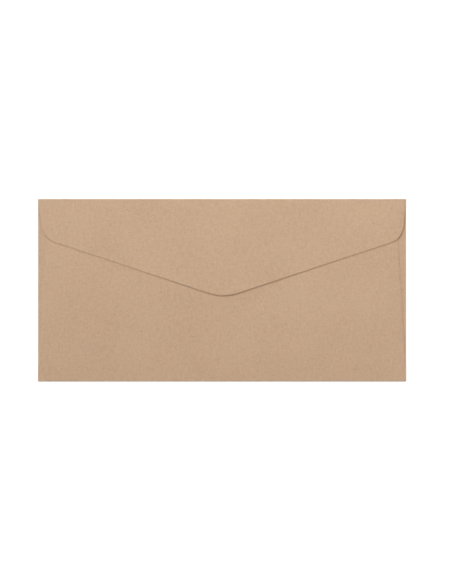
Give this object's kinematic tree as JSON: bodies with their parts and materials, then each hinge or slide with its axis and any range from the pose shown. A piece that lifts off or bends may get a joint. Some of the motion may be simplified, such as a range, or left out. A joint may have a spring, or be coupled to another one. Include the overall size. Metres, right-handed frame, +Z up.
{
  "type": "envelope",
  "caption": "Long kraft paper envelope, empty and closed, lying on its front: one folded sheet with glued side seams and a gummed seal flap that opens on the top fold.",
  "frame": {"origin": "on the surface that the envelope lies on, under the middle of its outside rectangle", "axes": "+X along the long side, to the right when the flap side is seen with the flap's fold at the top; +Y towards the top fold, where the seal flap is hinged; +Z up, out of the flap side"},
  "size_m": [0.22, 0.1092, 0.0013],
  "materials": {
    "kraft_paper": "matt, machine-made brown kraft with faint fibres and flecks",
    "kraft_crease": "matt, fibres slightly raised along the fold",
    "dried_gum": "smooth, glossy film of dried gum",
    "seam_glue": "thin, half-matt film of set glue"
  },
  "bodies": {
    "pocket": {"front_panel": "kraft_paper", "back_panel": "kraft_paper", "left_side_flap": "kraft_paper", "right_side_flap": "kraft_paper", "bottom_fold": "kraft_crease", "left_fold": "kraft_crease", "right_fold": "kraft_crease", "top_fold_panel_half": "kraft_crease", "left_seam_glue": "seam_glue", "right_seam_glue": "seam_glue"},
    "flap": {"top_fold_flap_half": "kraft_crease", "seal_flap": "kraft_paper", "flap_gum": "dried_gum"}
  },
  "joints": [
    {"name": "flap_hinge", "type": "hinge", "parent": "pocket", "child": "flap", "pos_m": [0, 0.0546, 0.00064], "axis": [-1, 0, 0], "range_deg": [0, 180]}
  ]
}
